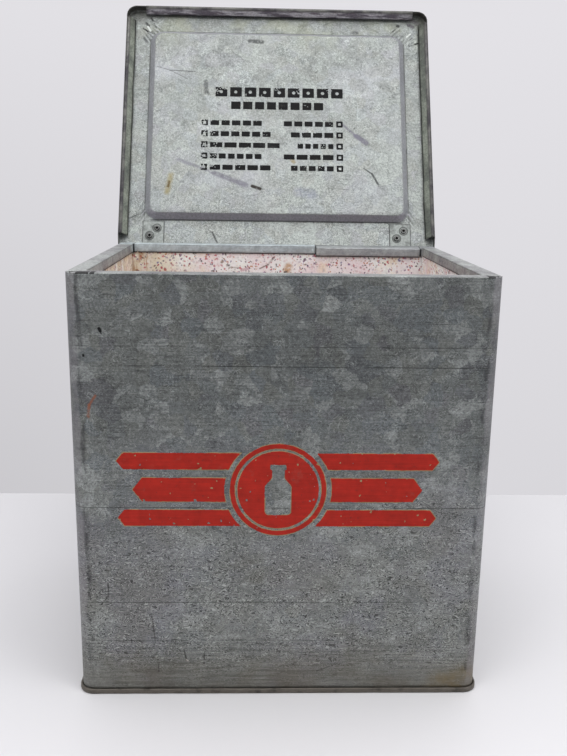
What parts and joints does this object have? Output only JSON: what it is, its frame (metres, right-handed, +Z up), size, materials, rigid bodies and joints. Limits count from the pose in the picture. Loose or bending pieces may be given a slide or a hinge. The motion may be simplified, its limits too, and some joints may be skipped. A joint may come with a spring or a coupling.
{
  "type": "insulated porch milk box",
  "caption": "Upright galvanised sheet-steel box with a foam lining, an in-turned rim and a hinged lid that leans back open on its rear flange.",
  "frame": {"origin": "centre of the box's flat base, on the surface that the box stands on", "axes": "+Z up, +X to the right seen from the front, the front wall faces -Y"},
  "size_m": [0.31, 0.38, 0.5502],
  "materials": {
    "shell_steel": "weathered galvanised, dull, with spangle",
    "base_steel": "weathered galvanised, dull",
    "lid_steel": "weathered galvanised, pale and speckled",
    "hinge_steel": "dull plated steel",
    "pin_steel": "dull steel wire",
    "rivet_steel": "dull plated steel",
    "foam": "pressed foam crumb, pale pink with coloured flecks"
  },
  "bodies": {
    "box": {"outer_shell": "shell_steel", "base_pan": "base_steel", "foam_floor": "foam", "foam_front": "foam", "foam_back": "foam", "foam_left": "foam", "foam_right": "foam", "box_hinge_leaf_left": "hinge_steel", "box_hinge_leaf_right": "hinge_steel", "hinge_pin_left": "pin_steel", "hinge_pin_right": "pin_steel", "box_rivets": "rivet_steel"},
    "lid": {"lid_pan": "lid_steel", "lid_hinge_leaf_left": "hinge_steel", "lid_hinge_leaf_right": "hinge_steel", "lid_rivets": "rivet_steel"}
  },
  "joints": [
    {"name": "lid_hinge", "type": "hinge", "parent": "box", "child": "lid", "pos_m": [0, 0.12975, 0.3145], "axis": [1, 0, 0], "range_deg": [0, 115]}
  ]
}
